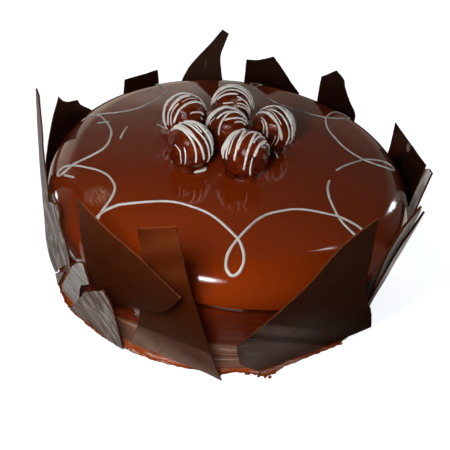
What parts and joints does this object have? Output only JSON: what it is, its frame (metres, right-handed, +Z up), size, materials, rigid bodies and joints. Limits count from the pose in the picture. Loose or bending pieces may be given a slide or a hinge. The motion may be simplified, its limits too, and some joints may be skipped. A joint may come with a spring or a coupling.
{
  "type": "chocolate truffle cake",
  "caption": "Round chocolate layer cake with a poured mirror glaze, white piped scroll, drizzled truffles on top and broken chocolate shards standing around its side.",
  "frame": {"origin": "on the floor, under the middle of the round cake, in the flat face that it rests on", "axes": "+Z up out of the cake's top; -Y towards the front, the side that the camera sees; +X to the right seen from the front"},
  "size_m": [0.2349, 0.2384, 0.1217],
  "materials": {
    "cake": "combed chocolate ganache, satin",
    "glaze": "poured chocolate mirror glaze with a white piped scroll, glossy",
    "truffle": "glazed chocolate with white drizzle, glossy",
    "shard": "thin dark chocolate sheet, satin"
  },
  "bodies": {
    "root": {"cake": "cake", "glaze": "glaze", "shard_back_1": "shard", "shard_back_2": "shard", "shard_back_3": "shard", "shard_back_4": "shard", "shard_back_5": "shard", "shard_back_6": "shard", "shard_back_left": "shard", "shard_back_low": "shard", "shard_back_right": "shard", "shard_back_tall": "shard", "shard_back_wide": "shard", "shard_far_left": "shard", "shard_front_left": "shard", "shard_front_panel": "shard", "shard_front_right": "shard", "shard_left": "shard", "shard_left_chip": "shard", "shard_left_low": "shard", "shard_left_wedge": "shard", "shard_low_right": "shard", "shard_low_right_outer": "shard", "shard_right": "shard", "shard_right_outer": "shard", "shard_side_right": "shard", "truffle_back": "truffle", "truffle_front_left": "truffle", "truffle_front_right": "truffle", "truffle_left": "truffle", "truffle_middle": "truffle", "truffle_right": "truffle"}
  },
  "joints": []
}
